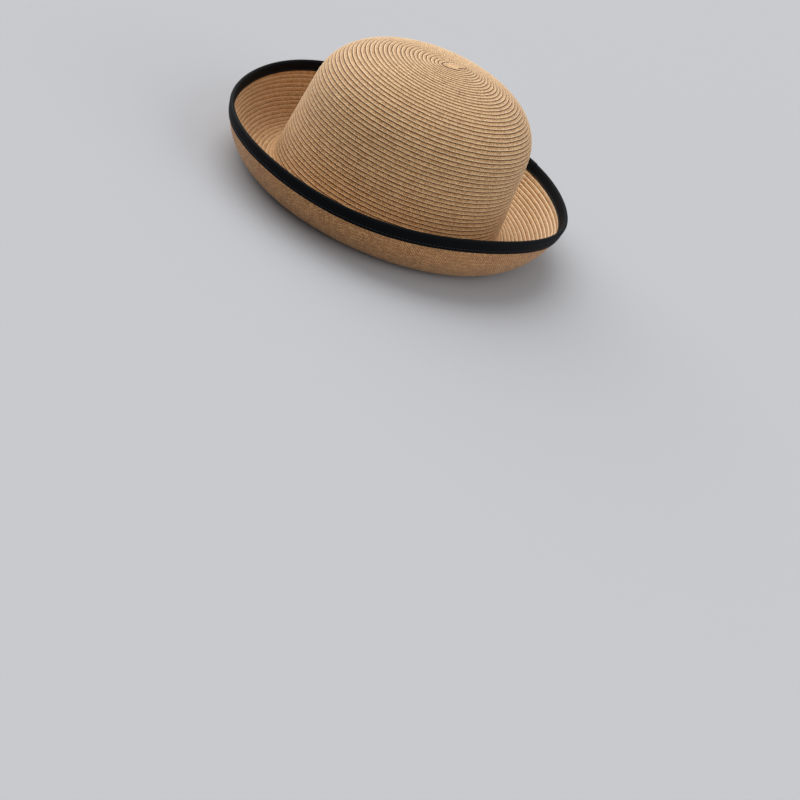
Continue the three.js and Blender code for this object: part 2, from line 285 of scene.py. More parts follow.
def quads(grid, flip=False):
    """The corners of each cell of a grid, going round it one way or the other."""
    a, b, c, d = grid[:-1, :-1], grid[1:, :-1], grid[1:, 1:], grid[:-1, 1:]
    corners = [a, d, c, b] if flip else [a, b, c, d]
    return np.stack(corners, 2).reshape(-1, 4, *grid.shape[2:])


def helix(first_row, last_row, shares):
    """Levels of a band of rows, and the vertex number of each place on it.

    The strip is one helix, so the end of a column at a full turn is the next row's place at turn 0.
    """
    per_row = len(shares)
    rows = np.arange(first_row, last_row)
    levels = np.append((rows[:, None] + np.array(shares)[None, :]).ravel(), last_row)
    count = len(levels)
    ids = np.arange(count * COLUMNS).reshape(count, COLUMNS)
    seam = np.append(ids[per_row:, 0], count * COLUMNS + np.arange(per_row))
    return levels, np.column_stack([ids, seam])


def helix_points(levels, section_heights, depth):
    """Vertices of a helix at a depth under the skin, raised by the row's own section."""
    per_row = len(section_heights)
    heights = np.append(np.tile(section_heights, (len(levels) - 1) // per_row), section_heights[0])
    if levels[0] == 0:
        heights = np.where(levels < FOLD, max(section_heights), heights)
    turns = np.linspace(0, FULL_TURN, COLUMNS + 1)
    last_rows = np.arange(len(levels) - per_row, len(levels))

    def raised(level, height, turn):
        length = strip_length(level, turn)
        lift = height * (1 + SWELL * np.sin(SWELL_RATE * (turn + FULL_TURN * level)))
        return on_skin(length, turn) + skin_normals(length, turn) * (lift - depth)[..., None]

    body = raised(levels[:, None], heights[:, None], turns[None, :-1])
    end = raised(levels[last_rows], heights[last_rows], np.full(per_row, FULL_TURN))
    return np.concatenate([body.reshape(-1, 3), end])


def plaits_in(rows):
    """A whole number of plaits in a turn of each row."""
    turns = np.linspace(0, FULL_TURN, RING_SAMPLES)
    counts = []
    for row in rows:
        around = on_skin(np.full(RING_SAMPLES, PITCH * (row + 1)), turns)
        length = np.linalg.norm(np.diff(around, axis=0), axis=1).sum()
        counts.append(max(LEAST_PLAITS, round(length / PLAIT)))
    return np.array(counts)


def quads_of(ids, levels, plaits, per_row):
    """The faces of a helix with their UVs: plaits along the row, and rows across."""
    row_plaits = np.repeat(plaits, per_row)[:, None]
    share = np.linspace(0, 1, COLUMNS + 1)[None, :]
    along = row_plaits * share
    marked = np.where(levels < 1, FOLD + (1 - FOLD) * levels, levels)
    upper = np.broadcast_to(marked[:-1, None], (len(levels) - 1, COLUMNS))
    lower = np.broadcast_to(marked[1:, None], (len(levels) - 1, COLUMNS))
    u = np.stack([along[:, :-1], along[:, :-1], along[:, 1:], along[:, 1:]], -1)
    v = np.stack([upper, lower, lower, upper], -1)
    return quads(ids), np.stack([u, v], -1).reshape(-1, 4, 2)


def braid_band(name, first_row, last_row, finishes):
    """Rows of the sewn strip as one closed shell: the ridged face, the smooth back, and the cut edges."""
    outer_shares = [share for share, _ in ROW_SECTION]
    inner_shares = [share for share, _ in BACK_SECTION]
    outer_levels, outer = helix(first_row, last_row, outer_shares)
    inner_levels, inner = helix(first_row, last_row, inner_shares)
    face = helix_points(outer_levels, [height for _, height in ROW_SECTION], 0)
    back = helix_points(inner_levels, [-height for _, height in BACK_SECTION], BRAID)
    inner = inner + len(face)
    points = np.concatenate([face, back])
    plaits = plaits_in(range(first_row, last_row))
    outer_count, inner_count = len(outer_shares), len(inner_shares)
    out_faces, out_uvs = quads_of(outer, outer_levels, plaits, outer_count)
    in_faces, in_uvs = quads_of(inner, inner_levels, plaits, inner_count)
    faces = [out_faces, in_faces[:, ::-1]]
    uvs = [out_uvs, in_uvs[:, ::-1]]
    last_outer, last_inner = outer[-1 - outer_count:, -1], inner[-1 - inner_count:, -1]
    walls = [np.stack([outer[-1, 1:], outer[-1, :-1], inner[-1, :-1], inner[-1, 1:]], -1)]
    ends = [np.concatenate([last_outer, last_inner[::-1]])[None]]
    if first_row > 0:
        first_outer, first_inner = outer[:outer_count + 1, 0], inner[:inner_count + 1, 0]
        walls.append(np.stack([outer[0, :-1], outer[0, 1:], inner[0, 1:], inner[0, :-1]], -1))
        ends.append(np.concatenate([first_outer[::-1], first_inner])[None])
    else:
        for ids, per_row, flip in ((outer, outer_count, False), (inner, inner_count, True)):
            caps = tip_caps(ids, per_row, flip)
            cap_points = points[caps]
            along = cap_points[..., 1] / PLAIT
            across = 0.5 + cap_points[..., 0] / (CAP_ROWS * PITCH)
            faces.append(caps)
            uvs.append(np.stack([along, across], -1))
    covered = sum(len(f) for f in faces)
    back_faces = np.zeros(covered, int)
    back_faces[len(out_faces):len(out_faces) + len(in_faces)] = 1
    edge_count = sum(len(f) for f in walls + ends)
    faces += walls + ends
    uvs += [np.zeros((len(f), f.shape[1], 2)) for f in walls + ends]
    finish_of_face = np.concatenate([back_faces, np.zeros(edge_count, int)])
    flat = np.concatenate([np.zeros(covered, bool), np.ones(edge_count, bool)])
    return build(name, points, faces, uvs, finishes, finish_of_face, flat)


def tip_caps(ids, per_row, flip):
    """Triangles that close the middle of the spiral, inside the strip's first edge."""
    middle, rim, column = ids[0, 0], ids[0, 1:-1], ids[:per_row + 1, 0]
    fan = np.stack([np.full(len(rim) - 1, middle), rim[:-1], rim[1:]], -1)
    last = np.stack([np.full(per_row, rim[-1]), column[1:], column[:-1]], -1)
    caps = np.concatenate([fan, last])
    if flip:
        caps = caps[:, ::-1]
    return caps


def ring(name, outline, columns, finish):
    """A closed ring. outline(section) gives (d, z), each (points, columns), anticlockwise with z up."""
    turns = np.linspace(0, FULL_TURN, columns, endpoint=False)
    section = Section(turns[None, :])
    d, z = outline(section, turns[None, :])
    points = section.placed(d, z)
    ids = np.arange(len(points) * columns).reshape(len(points), columns)
    faces = quads(np.pad(ids, ((0, 1), (0, 1)), mode="wrap"), flip=True)
    around = np.concatenate([points, points[:, :1]], 1)
    along = np.linalg.norm(np.diff(around, axis=1), axis=-1).mean(0)
    across = np.linalg.norm(np.diff(np.concatenate([points, points[:1]]), axis=0), axis=-1)[:, 0]
    crossed = np.concatenate([[0], np.cumsum(across)])
    travelled = np.concatenate([[0], np.cumsum(along)])
    v, u = np.meshgrid(crossed, travelled, indexing="ij")
    uvs = quads(np.stack([u, v], -1), flip=True)
    return build(name, points.reshape(-1, 3), [faces], [uvs], [finish])


def cloth(name, grid, thickness, finish, closed=False):
    """A sheet of even thickness on a grid of points (along, across). A closed one joins its ends."""
    ahead = np.roll(grid, -1, 0) - np.roll(grid, 1, 0)
    if not closed:
        ahead[0], ahead[-1] = grid[1] - grid[0], grid[-1] - grid[-2]
    aside = np.gradient(grid, axis=1)
    normal = np.cross(ahead, aside)
    normal /= np.maximum(np.linalg.norm(normal, axis=-1, keepdims=True), TINY)
    front, back = grid + normal * thickness / 2, grid - normal * thickness / 2
    along, across = grid.shape[:2]
    ids = np.arange(along * across).reshape(along, across)
    if closed:
        ids = np.concatenate([ids, ids[:1]])
    under = ids + along * across
    faces = [quads(ids), quads(under, flip=True)]
    edges = [(ids[:, 0], under[:, 0], True), (ids[:, -1], under[:, -1], False)]
    if not closed:
        edges += [(ids[0], under[0], False), (ids[-1], under[-1], True)]
    for top, low, flip in edges:
        wall = np.stack([top[:-1], low[:-1], low[1:], top[1:]], -1)
        faces.append(wall if not flip else wall[:, ::-1])
    closing = grid[:1] if closed else grid[:0]
    run = np.linalg.norm(np.diff(np.concatenate([grid, closing]), axis=0), axis=-1).mean(1)
    far = np.concatenate([[0], np.cumsum(run)])
    wide = np.concatenate([[0], np.cumsum(np.linalg.norm(np.diff(grid, axis=1), axis=-1).mean(0))])
    u, v = np.meshgrid(far, wide, indexing="ij")
    place = np.stack([u, v], -1)
    sheet, other = quads(place), quads(place, flip=True)
    uvs = [sheet, other] + [np.zeros((len(f), 4, 2)) for f in faces[2:]]
    points = np.concatenate([front.reshape(-1, 3), back.reshape(-1, 3)])
    flat = np.zeros(sum(len(f) for f in faces), bool)
    flat[2 * len(sheet):] = True
    return build(name, points, faces, uvs, [finish], None, flat)


STITCH_RINGS, STITCH_SIDES = 7, 6
ARCH_RISE, ARCH_DROP = 1.1, 2.2  # in radii of the thread
LEAST_TAPER = 0.15


def stitches(name, centres, along, outward, length, radius, finish):
    """Short arched threads, each rising from the cloth and going back into it."""
    rings, sides = STITCH_RINGS, STITCH_SIDES
    share = np.linspace(-1, 1, rings)
    reach = np.sin(share * QUARTER) * length / 2
    arch = radius * (ARCH_RISE - ARCH_DROP * share ** 2)
    thick = radius * np.sqrt(np.maximum(LEAST_TAPER, 1 - share ** 6))
    turn = np.linspace(0, FULL_TURN, sides, endpoint=False)
    aside = np.cross(outward, along)
    local = np.stack([
        np.broadcast_to(reach[:, None], (rings, sides)),
        thick[:, None] * np.cos(turn),
        arch[:, None] + thick[:, None] * np.sin(turn),
    ], -1).reshape(-1, 3)
    frame_axes = np.stack([along, aside, outward], 1)
    points = centres[:, None] + np.einsum("pk,nkc->npc", local, frame_axes)
    ids = np.arange(rings * sides).reshape(rings, sides)
    tube = quads(np.pad(ids, ((0, 0), (0, 1)), mode="wrap"), flip=True)
    caps = np.stack([ids[0][::-1], ids[-1]])
    start = (np.arange(len(centres)) * rings * sides)[:, None, None]
    tubes = (tube[None, :, ::-1] + start).reshape(-1, 4)
    ends = (caps[None, :, ::-1] + start).reshape(-1, sides)
    return build(name, points.reshape(-1, 3), [tubes, ends], None, [finish])


def unit(vectors):
    """The same directions, each with a length of 1."""
    return vectors / np.linalg.norm(vectors, axis=-1, keepdims=True)


# ---- Materials ----


OBJECT_PLACE = 3  # the output of the texture coordinates that gives the place on the object
EVEN_DETAIL = 2.0


class Material:
    """A Principled material with a short way to write its nodes."""

    def __init__(self, name):
        self.made = bpy.data.materials.new(name)
        self.made.use_nodes = True
        self.tree = self.made.node_tree
        self.shader = next(n for n in self.tree.nodes if n.type == "BSDF_PRINCIPLED")

    def node(self, kind, inputs=(), output=0, **settings):
        made = self.tree.nodes.new(kind)
        for key, value in settings.items():
            setattr(made, key, value)
        for key, value in dict(inputs).items():
            self.put(made.inputs[key], value)
        return made.outputs[output]

    def put(self, socket, value):
        if isinstance(value, bpy.types.NodeSocket):
            self.tree.links.new(value, socket)
        else:
            socket.default_value = value

    def math(self, operation, a, b=0.0, c=0.0):
        return self.node("ShaderNodeMath", {0: a, 1: b, 2: c}, operation=operation)

    def wave(self, value, period):
        """A sine from 0 to 1."""
        angle = self.math("MULTIPLY", value, FULL_TURN / period)
        return self.math("MULTIPLY_ADD", self.math("SINE", angle), 0.5, 0.5)

    def ramp(self, value, stops):
        made = self.tree.nodes.new("ShaderNodeValToRGB")
        ramp = made.color_ramp
        while len(ramp.elements) < len(stops):
            ramp.elements.new(0.5)
        for element, (position, level) in zip(ramp.elements, stops):
            element.position = position
            element.color = (level, level, level, 1)
        self.put(made.inputs[0], value)
        return made.outputs[0]

    def mix(self, factor, a, b):
        return self.node(
            "ShaderNodeMix", {0: factor, 6: a, 7: b}, output=2, data_type="RGBA", clamp_factor=True)

    def uv(self):
        split = self.tree.nodes.new("ShaderNodeSeparateXYZ")
        self.put(split.inputs[0], self.node("ShaderNodeUVMap", uv_map="cloth"))
        return split.outputs[0], split.outputs[1]

    def side(self):
        """A share that runs from 0 at the hat's -X side to 1 at its +X side."""
        split = self.tree.nodes.new("ShaderNodeSeparateXYZ")
        self.put(split.inputs[0], self.node("ShaderNodeTexCoord", output=OBJECT_PLACE))
        return self.math("MULTIPLY_ADD", split.outputs[0], 1 / (2 * RIM_HALF_X * MM), 0.5)

    def noise_at(self, place, scale, detail):
        return self.node("ShaderNodeTexNoise", {"Vector": place, "Scale": scale, "Detail": detail})

    def noise(self, size, detail=EVEN_DETAIL):
        """Noise from about 0 to 1, whose grain is size millimetres."""
        place = self.node("ShaderNodeTexCoord", output=OBJECT_PLACE)
        return self.noise_at(place, 1 / (size * MM), detail)

    def drawn_noise(self, along, across, scales, offset=0.0):
        """Noise that is drawn out over the UVs, by a scale for each."""
        place = self.node("ShaderNodeCombineXYZ", {
            0: self.math("MULTIPLY", along, scales[0]),
            1: self.math("MULTIPLY", across, scales[1]),
            2: offset})
        return self.noise_at(place, 1.0, EVEN_DETAIL)

    def bump(self, height, distance):
        return self.node("ShaderNodeBump", {"Height": height, "Distance": distance, "Strength": 1.0})

    def shade(self, color, roughness, normal=None, **fixed):
        self.put(self.shader.inputs["Base Color"], color)
        self.put(self.shader.inputs["Roughness"], roughness)
        if normal is not None:
            self.put(self.shader.inputs["Normal"], normal)
        for key, value in fixed.items():
            self.shader.inputs[key.replace("_", " ")].default_value = value
        return self.made


def rgb(red, green, blue):
    """A colour given as it looks on a screen, from 0 to 255, as the shader's linear values."""
    levels = [v / 255 for v in (red, green, blue)]
    return (*[v / 12.92 if v <= 0.04045 else ((v + 0.055) / 1.055) ** 2.4 for v in levels], 1)


SHEEN_TINT = (1, 0.92, 0.8, 1)
LEVEL_SCALE = 0.25  # brings the level of the first rows inside a ramp
FIRST_GROOVE_STOPS = [(0, 0), (0.21, 0), (0.235, 1), (0.3, 1), (0.33, 0)]  # of the scaled level; painted shade in the groove after the first row
FIBRES = (0.9, 5.0)  # grains to a plait and to a row
TONES, TONE_OFFSET = (0.05, 0.9), 3.0
PATCH = 26
SPECKLE, STREAK, STREAK_DROP = 0.8, 0.6, 0.35  # shares of the contrast
WARM_GREEN, WARM_BLUE = 0.84, 0.62  # what a warm patch leaves of the light colour
DARKER, WARMER = 0.5, 0.35  # the most that a dark stretch and a warm patch are mixed in
PICOT = 2  # plaits from one notch of the edge to the next
# Each pair is what a share is multiplied by and what is then added to it.
PLAIT_RELIEF = (1.3, 0.1)
TONE_SHARE = (0.8, -0.25)
PATCH_SHARE = (0.8, -0.22)
PICOT_SHARE = (0.25, 0.75)
LIP_FIBRES = (0.8, 0.4)
STRAW_ROUGHNESS = (0.25, 0.5)
FIBRE_BUMP = 0.35


def straw(name, light, dark, lip, groove, lip_stops, groove_stops, contrast, bump, light_fade_stops=None):
    """Plaited paper straw, with painted shade in its grooves and in the hollows of its plait, and a painted
    highlight on the lip of each row. Its UVs count plaits along the row and rows across it.
    """
    m = Material(name)
    along, across = m.uv()
    share = m.math("FRACT", across)
    slant = m.math("MULTIPLY", share, PLAITS_ACROSS)
    rising = m.wave(m.math("ADD", along, slant), 1)
    falling = m.wave(m.math("SUBTRACT", along, slant), 1)
    plait = m.math("MULTIPLY_ADD", m.math("MULTIPLY", rising, falling), *PLAIT_RELIEF)
    cell = m.node("ShaderNodeCombineXYZ", {
        0: m.math("FLOOR", m.math("ADD", along, slant)),
        1: m.math("FLOOR", m.math("SUBTRACT", along, slant)),
        2: m.math("FLOOR", across)})
    straw_tone = m.node("ShaderNodeTexWhiteNoise", {"Vector": cell}, noise_dimensions="3D")
    strand = m.drawn_noise(along, across, FIBRES)
    tone = m.drawn_noise(along, across, TONES, TONE_OFFSET)
    patch = m.noise(PATCH)
    # The hollows of the plait are drawn darker: painted shade, from the same relief that the bump uses.
    hollow_shade = m.math("MULTIPLY", m.math("SUBTRACT", 1.0, plait), contrast)
    speckle = m.math("MULTIPLY", straw_tone, contrast * SPECKLE)
    streak = m.math("MULTIPLY_ADD", strand, contrast * STREAK, -contrast * STREAK_DROP)
    base = m.mix(m.math("ADD", m.math("ADD", hollow_shade, speckle), streak), light, dark)
    base = m.mix(m.math("MULTIPLY_ADD", tone, *TONE_SHARE), base, m.mix(DARKER, base, dark))
    warm = (light[0], light[1] * WARM_GREEN, light[2] * WARM_BLUE, 1)
    base = m.mix(m.math("MULTIPLY_ADD", patch, *PATCH_SHARE), base, m.mix(WARMER, base, warm))
    # Painted shade in the groove between the rows, dotted by the picots of the edge; part of its dark is the
    # darker stitched seam.
    picot = m.wave(along, PICOT)
    edge = m.ramp(share, groove_stops)
    painted_groove_shade = m.math("MULTIPLY", edge, m.math("MULTIPLY_ADD", picot, *PICOT_SHARE))
    first = m.ramp(m.math("MULTIPLY", across, LEVEL_SCALE), FIRST_GROOVE_STOPS)
    painted_groove_shade = m.math("MAXIMUM", painted_groove_shade, m.math("MULTIPLY", first, groove_stops[0][1]))
    # Painted highlight along the lip of each row, broken by the fibres.
    painted_lip_highlight = m.math("MULTIPLY", m.ramp(share, lip_stops), m.math("MULTIPLY_ADD", strand, *LIP_FIBRES))
    # Painted light: the groove shade and lip highlight fade by the side of the hat.
    if light_fade_stops is not None:
        side = m.ramp(m.side(), light_fade_stops)
        painted_groove_shade = m.math("MULTIPLY", painted_groove_shade, side)
        painted_lip_highlight = m.math("MULTIPLY", painted_lip_highlight, side)
    color = m.mix(painted_groove_shade, m.mix(painted_lip_highlight, base, lip), groove)
    height = m.math("ADD", plait, m.math("MULTIPLY", strand, FIBRE_BUMP))
    roughness = m.math("MULTIPLY_ADD", strand, *STRAW_ROUGHNESS)
    return m.shade(
        color, roughness, m.bump(height, bump * MM),
        Specular_IOR_Level=0.38, Sheen_Weight=0.18, Sheen_Roughness=0.35, Sheen_Tint=SHEEN_TINT)


def ribbon(name, color, rib, sheen, bump, specular):
    """Ribbed black ribbon. The ribs run across it, and u is millimetres along it."""
    thread_gap, fuzz_size, worn_size, detail = 0.45, 0.4, 18, 3
    brighter, least_light = 2.4, 0.002
    rib_share, fuzz_share, thread_share = 0.35, 0.3, 0.25
    worn_light, roughness_range = (0.8, 0.3), (0.2, 0.5)
    m = Material(name)
    along, across = m.uv()
    ribs = m.wave(along, rib)
    thread = m.wave(across, thread_gap)
    fuzz = m.noise(fuzz_size, detail)
    worn = m.noise(worn_size)
    lighter = tuple(min(1, channel * brighter + least_light) for channel in color[:3]) + (1,)
    # The rib crests and the fuzz are drawn lighter: painted highlight, varied by the worn patches.
    depth = m.math("MULTIPLY_ADD", ribs, rib_share, m.math("MULTIPLY", fuzz, fuzz_share))
    base = m.mix(m.math("MULTIPLY", depth, m.math("MULTIPLY_ADD", worn, *worn_light)), color, lighter)
    fine = m.math("MULTIPLY_ADD", thread, thread_share, m.math("MULTIPLY", fuzz, fuzz_share))
    height = m.math("ADD", ribs, fine)
    roughness = m.math("MULTIPLY_ADD", fuzz, *roughness_range)
    return m.shade(
        base, roughness, m.bump(height, bump * MM),
        Specular_IOR_Level=specular, Sheen_Weight=sheen, Sheen_Roughness=0.4)


def thread(name, color):
    """Twisted sewing thread."""
    twist_size, brighter, relief = 0.25, 2.5, 0.05 * MM
    m = Material(name)
    twist = m.noise(twist_size)
    lighter = tuple(min(1, channel * brighter) for channel in color[:3]) + (1,)
    return m.shade(m.mix(twist, color, lighter), 0.5, m.bump(twist, relief), Specular_IOR_Level=0.4)


def satin(name, color):
    """White woven label satin, with painted shade between its fine floats and a little soiling."""
    warp_gap, weft_gap, soil_size, detail = 0.3, 0.5, 7, 3
    warp_share, weft_share, soil_share = 0.3, 0.15, 0.35
    roughness_range, relief = (0.15, 0.35), 0.04 * MM
    m = Material(name)
    along, across = m.uv()
    warp = m.wave(across, warp_gap)
    weft = m.wave(along, weft_gap)
    soil = m.noise(soil_size, detail)
    # The darker colour is both real soiling and painted shade between the floats.
    soiled_and_shaded = (color[0] * 0.8, color[1] * 0.78, color[2] * 0.72, 1)
    floats = m.math("MULTIPLY_ADD", warp, warp_share, m.math("MULTIPLY", weft, weft_share))
    base = m.mix(m.math("MULTIPLY_ADD", soil, soil_share, floats), color, soiled_and_shaded)
    height = m.math("ADD", warp, weft)
    roughness = m.math("MULTIPLY_ADD", soil, *roughness_range)
    return m.shade(base, roughness, m.bump(height, relief), Sheen_Weight=0.2)


def metal(name, color, dull):
    """Bare metal with dull patches and fine scratches."""
    scratch_size, tarnish_size, detail = 0.6, 5, 3
    most_dull, roughness_range, relief = 0.7, (0.25, 0.22), 0.02 * MM
    m = Material(name)
    scratch = m.noise(scratch_size, detail)
    tarnish = m.noise(tarnish_size)
    base = m.mix(m.math("MULTIPLY", tarnish, most_dull), color, dull)
    roughness = m.math("MULTIPLY_ADD", tarnish, *roughness_range)
    return m.shade(base, roughness, m.bump(scratch, relief), Metallic=1.0)


# Painted shade in the groove and a painted highlight on the lip, by the share of the row from its upper edge.
# Part of the groove's dark is the darker stitched seam.
GROOVE_STOPS = [(0, 1), (0.12, 1), (0.22, 0.6), (0.32, 0), (0.95, 0), (1, 0.8)]
LIP_STOPS = [(0, 0), (0.66, 0), (0.8, 0.7), (0.9, 0.7), (0.95, 0)]
ROLL_STOPS = [(0, 0.8), (0.1, 0.75), (0.2, 0.35), (0.29, 0), (0.96, 0), (1, 0.3)]
ROLL_LIP_STOPS = [(0, 0), (0.6, 0), (0.76, 0.8), (0.95, 0.9), (1, 0.3)]
ROLL_LIGHT_FADE_STOPS = [(0, 0.35), (0.18, 0.45), (0.42, 1)]  # painted light: the brim's painted groove shade and lip highlight fade towards -X, where the brim lies in soft, even light
FAINT_STOPS = [(0, 0.5), (0.1, 0.15), (0.2, 0), (0.45, 0.0), (0.5, 0.25), (0.55, 0.0), (0.9, 0), (1, 0.5)]
NO_LIP_STOPS = [(0, 0), (0.7, 0), (0.8, 0.15), (0.9, 0)]
PALE, TAN = rgb(234, 198, 146), rgb(148, 98, 50)
# The groove colour is painted shade, partly the darker seam; the lip colour is a painted highlight.
LIP_HIGHLIGHT, GROOVE_SHADE = rgb(252, 228, 188), rgb(92, 50, 16)
STRAW = straw(
    "paper_straw", PALE, TAN, LIP_HIGHLIGHT, GROOVE_SHADE,
    LIP_STOPS, GROOVE_STOPS, contrast=0.66, bump=0.35)
# The roll's straw is a lighter, more orange copy of the crown's, with a fainter groove: painted light for the
# brim.
STRAW_ROLL_LIT = straw(
    "paper_straw_roll_lit", rgb(242, 204, 150), rgb(168, 112, 58), LIP_HIGHLIGHT, rgb(118, 72, 32),
    ROLL_LIP_STOPS, ROLL_STOPS, contrast=0.7, bump=0.35, light_fade_stops=ROLL_LIGHT_FADE_STOPS)
# The strip's back is drawn darker and more orange than its face, partly painted shade for the underside of
# the brim.
STRAW_BACK = straw(
    "paper_straw_back", rgb(228, 178, 122), rgb(134, 86, 42), rgb(240, 208, 168), rgb(112, 68, 34),
    NO_LIP_STOPS, FAINT_STOPS, contrast=0.8, bump=0.3)
BINDING = ribbon("binding_ribbon", rgb(6, 7, 9), rib=0.8, sheen=0.0, bump=0.08, specular=0.04)
GROSGRAIN = ribbon("grosgrain", rgb(24, 25, 28), rib=1.0, sheen=0.08, bump=0.16, specular=0.2)
BLACK_THREAD = thread("black_thread", rgb(20, 21, 24))
LABEL_SATIN = satin("label_satin", rgb(238, 236, 230))
WIRE = metal("wire_steel", rgb(170, 172, 176), rgb(110, 104, 98))
BRASS = metal("joiner_brass", rgb(196, 160, 92), rgb(120, 92, 52))

# ---- Camera ----

CAMERA = {"azimuth": 0.6889, "elevation": 0.3639, "roll": 0.4603, "distance": 1.39955, "lens": 81}
AIM = Vector((0, 0, 0.05))
AIM_RIGHT, AIM_DOWN = 0.00629, -0.14276  # where the aim shows, as tangents from the middle of the view
SENSOR_WIDTH, NEAREST, FARTHEST = 36, 0.05, 100


def camera_axes():
    """The camera's right, down and forward, and the way back to it from the hat, which leans by the roll."""
    azimuth, elevation, roll = CAMERA["azimuth"], CAMERA["elevation"], CAMERA["roll"]
    level_reach = math.cos(elevation)
    back = Vector((math.sin(azimuth) * level_reach, -math.cos(azimuth) * level_reach, math.sin(elevation)))
    right = Vector((math.cos(azimuth), math.sin(azimuth), 0))
    up = right.cross(-back)
    level = math.cos(roll) * right + math.sin(roll) * up
    upright = -math.sin(roll) * right + math.cos(roll) * up
    aim = Vector((AIM_RIGHT, AIM_DOWN, 1)).normalized()
    turn = Vector((0, 0, 1)).rotation_difference(aim).to_matrix()
    rows = turn @ Matrix((level, -upright, -back))
    return Vector(rows[0]), Vector(rows[1]), Vector(rows[2]), back


def make_camera():
    right, down, forward, back = camera_axes()
    data = bpy.data.cameras.new("camera")
    data.lens = CAMERA["lens"]
    data.sensor_width = SENSOR_WIDTH
    data.clip_start, data.clip_end = NEAREST, FARTHEST
    camera = bpy.data.objects.new("camera", data)
    bpy.context.scene.collection.objects.link(camera)
    turned = Matrix((right, -down, -forward)).transposed().to_4x4()
    camera.matrix_world = Matrix.Translation(AIM + back * CAMERA["distance"]) @ turned
    bpy.context.scene.camera = camera


make_camera()

# ---- The braid, in bands that meet in a groove ----


def row_at(place):
    """The row that begins nearest to a place on the skin, half a turn round the hat."""
    return round(float(np.interp(place, PLACES, LENGTHS)) / PITCH - 0.5)


TIP_ROW = row_at(WALL_TOP - TIP_EDGE / QUARTER)
DOME_ROW = row_at(WALL_TOP)
FOOT_ROW = row_at(WALL_FOOT)
CURL_ROW = row_at(SEAT_OUT + CURL_START)
UPPER_ROW = (TIP_ROW + DOME_ROW) // 2
LOWER_ROW = (DOME_ROW + FOOT_ROW) // 2
LAST_ROW = ROWS - 1

BANDS = [
    ("crown_tip_braid", 0, TIP_ROW, ("crown_tip",)),
    ("side_crown_braid_upper", TIP_ROW, UPPER_ROW, ("side_crown",)),
    ("side_crown_braid_middle", UPPER_ROW, DOME_ROW, ()),
    ("side_crown_braid_lower", DOME_ROW, LOWER_ROW, ()),
    ("side_crown_braid_foot", LOWER_ROW, FOOT_ROW, ()),
    ("brim_flat_braid", FOOT_ROW, CURL_ROW, ("brim_flat",)),
    ("brim_curl_braid", CURL_ROW, LAST_ROW, ("brim_curl",)),
]
for band_name, first, last, nodes in BANDS:
    face = STRAW_ROLL_LIT if band_name.startswith("brim") else STRAW
    band = braid_band(band_name, first, last, [face, STRAW_BACK])
    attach(band, "hat")
    if nodes:
        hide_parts(*nodes)

# ---- The bound edge ----

RIBBON = 0.55
BINDING_COLUMNS = 900
BINDING_STITCH = 3.0
RIM_LENGTH = 885
EDGE_STEPS = 11
INNER_SHARES = (1, 0.97, 0.9, 0.84, 0.79, 0.72, 0.6, 0.4, 0.2)  # places across each face of the ribbon
OUTER_SHARES = (0, 0.2, 0.4, 0.52, 0.6, 0.66, 0.72, 0.8, 0.9, 0.97, 1)
SINK, SINK_REACH = 0.12, 0.7  # how far the seam presses the ribbon in, and over what distance
PUCKER, PUCKER_REACH = 0.03, 2  # the same for the puckers that it makes
BINDING_OVERLAP = {"half": 8, "thick": 0.35}
OVERLAP_EDGE = 1.2  # length that the added thickness comes on over


def overlap_at(turns, half_width, overlap):
    """The thickness that a ribbon's overlapped ends add, at the back."""
    from_back = np.abs((turns - BACK + math.pi) % FULL_TURN - math.pi) * half_width
    return overlap["thick"] * np.clip((overlap["half"] - from_back) / OVERLAP_EDGE, 0, 1)


def wire_centre(section):
    """(d, z) of the middle of the wire in the binding's fold."""
    d, z, normal_d, normal_z = section.edge(0)
    past = GAP + JOINER_RADIUS
    return d - normal_d * BRAID / 2 + normal_z * past, z - normal_z * BRAID / 2 - normal_d * past


def binding_path(section, turns, proud):
    """(d, z) along the folded ribbon, from its inner selvedge over the edge to its outer one."""
    pucker = np.cos(turns * RIM_LENGTH / BINDING_STITCH)

    def pressed(distance):
        from_seam = distance - BINDING_SEAM
        sunk = math.exp(-(from_seam / SINK_REACH) ** 2)
        return proud - SINK * sunk + PUCKER * pucker * math.exp(-(from_seam / PUCKER_REACH) ** 2)

    def raised(distance, lift):
        d, z, normal_d, normal_z = section.edge(distance)
        return d + normal_d * lift, z + normal_z * lift

    points = [raised(share * BINDING_INNER, pressed(share * BINDING_INNER)) for share in INNER_SHARES]
    centre_d, centre_z = wire_centre(section)
    _, _, normal_d, normal_z = section.edge(0)
    for angle in np.linspace(0, math.pi, EDGE_STEPS):
        across, along = (BRAID / 2 + proud) * math.cos(angle), (BRAID / 2 + proud) * math.sin(angle)
        d = centre_d + normal_d * across + normal_z * along
        points.append((d, centre_z + normal_z * across - normal_d * along))
    for share in OUTER_SHARES:
        distance = share * BINDING_OUTER
        points.append(raised(distance, -(BRAID + pressed(distance))))
    return points


def binding_outline(section, turns):
    """The ribbon's near and far faces. Its ends overlap at the back, which thickens it there."""
    overlap = overlap_at(turns, RIM_HALF_X, BINDING_OVERLAP)
    near = binding_path(section, turns, GAP)
    far = binding_path(section, turns, GAP + RIBBON + overlap)[::-1]
    middle = binding_path(section, turns, GAP + RIBBON / 2)
    outline = near + [middle[-1]] + far + [middle[0]]
    shape = turns.shape[1]
    d = np.stack([np.broadcast_to(p[0], (1, shape))[0] for p in outline])
    z = np.stack([np.broadcast_to(p[1], (1, shape))[0] for p in outline])
    return d, z


binding = ring("edge_binding_ribbon", binding_outline, BINDING_COLUMNS, BINDING)
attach(binding, "hat")
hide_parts("edge_binding")


STITCH_STEP = 0.001  # the turn that a stitch's direction is worked out over


